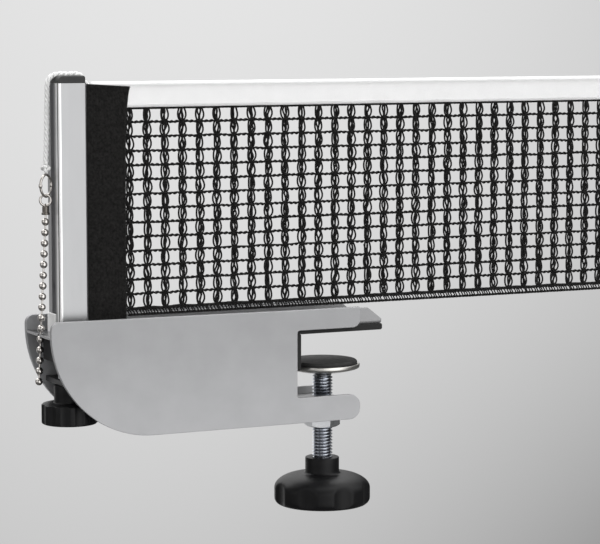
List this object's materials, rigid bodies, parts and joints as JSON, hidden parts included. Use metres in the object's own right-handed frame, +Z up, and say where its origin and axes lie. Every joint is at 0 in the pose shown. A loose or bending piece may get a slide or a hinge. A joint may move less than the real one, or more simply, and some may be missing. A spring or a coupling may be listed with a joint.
{
  "type": "table tennis net clamp",
  "caption": "Screw clamp that grips a table edge and carries a height-adjustable net post, its chain-tensioned cord and the first stretch of net.",
  "frame": {"origin": "where the clamp screw's axis meets the underside of the upper jaw's pad, which is the plane of the table top", "axes": "+X along the net over the table, +Y away from the side that is normally looked at, +Z up along the clamp screw"},
  "size_m": [0.3951, 0.059, 0.2674],
  "materials": {
    "side_plate_silver": "satin silver-grey lacquer on sheet steel",
    "channel_grey": "satin grey lacquer on folded sheet steel",
    "pad_rubber": "matt black rubber",
    "zinc_steel": "bright zinc-plated steel",
    "nickel_steel": "nickel-plated steel",
    "knob_plastic": "moulded black plastic with a fine grain",
    "post_aluminium": "satin anodised aluminium extrusion",
    "cap_plastic": "moulded dark grey plastic",
    "white_nylon": "natural nylon",
    "black_steel": "black coated steel",
    "white_rod": "glass-fibre rod",
    "white_tape": "white woven tape",
    "black_fabric": "black twill tape",
    "black_cord_net": "black knitted polyester thread",
    "white_cord": "white three-strand twisted cord",
    "bead_chrome": "bright nickel-plated brass"
  },
  "bodies": {
    "clamp_frame": {"front_plate": "side_plate_silver", "rear_plate": "side_plate_silver", "jaw_channel": "channel_grey", "throat_plate": "channel_grey", "nut_plate": "channel_grey", "top_pad": "pad_rubber", "edge_pad": "pad_rubber", "clamp_nut": "zinc_steel", "spindle_bridge": "black_steel"},
    "pressure_head": {"pressure_disc": "nickel_steel", "disc_pad": "pad_rubber"},
    "screw": {"clamp_screw": "zinc_steel", "clamp_knob": "knob_plastic"},
    "post_unit": {"post": "post_aluminium", "post_cap": "cap_plastic", "post_wedge": "white_nylon", "chain_catch": "channel_grey", "lift_carriage": "black_steel", "foot_screws": "zinc_steel", "band_rod": "white_rod", "side_band": "black_fabric", "top_tape": "white_tape", "net_mesh": "black_cord_net", "bottom_braid": "black_cord_net", "end_hem": "black_fabric", "tension_cord": "white_cord", "cord_knot": "white_cord", "cord_hook": "bead_chrome", "chain_ring": "bead_chrome", "chain_coupling": "bead_chrome", "bead_chain": "bead_chrome"},
    "spindle": {"height_spindle": "zinc_steel", "spindle_collar": "zinc_steel", "height_knob": "knob_plastic"},
    "chain_end": {"chain_tail": "bead_chrome"}
  },
  "joints": [
    {"name": "clamp_travel", "type": "slide", "parent": "clamp_frame", "child": "pressure_head", "axis": [0, 0, 1], "range_m": [-0.013, 0.016]},
    {"name": "clamp_turn", "type": "hinge", "parent": "pressure_head", "child": "screw", "pos_m": [0, 0, -0.06], "axis": [0, 0, 1], "range_deg": [-2400, 2950]},
    {"name": "post_lift", "type": "slide", "parent": "clamp_frame", "child": "post_unit", "axis": [0, 0, 1], "range_m": [-0.004, 0.006]},
    {"name": "height_turn", "type": "hinge", "parent": "clamp_frame", "child": "spindle", "pos_m": [-0.1651, 0, -0.03], "axis": [0, 0, 1], "range_deg": [-1730, 1155]},
    {"name": "chain_swing", "type": "hinge", "parent": "post_unit", "child": "chain_end", "pos_m": [-0.1826, 0, 0.00387], "axis": [0, 1, 0], "range_deg": [-10, 45]}
  ],
  "couplings": [
    {"joint": "clamp_turn", "follows": "clamp_travel", "rad_per_m": 3215.6},
    {"joint": "height_turn", "follows": "post_lift", "rad_per_m": -5026.5}
  ]
}
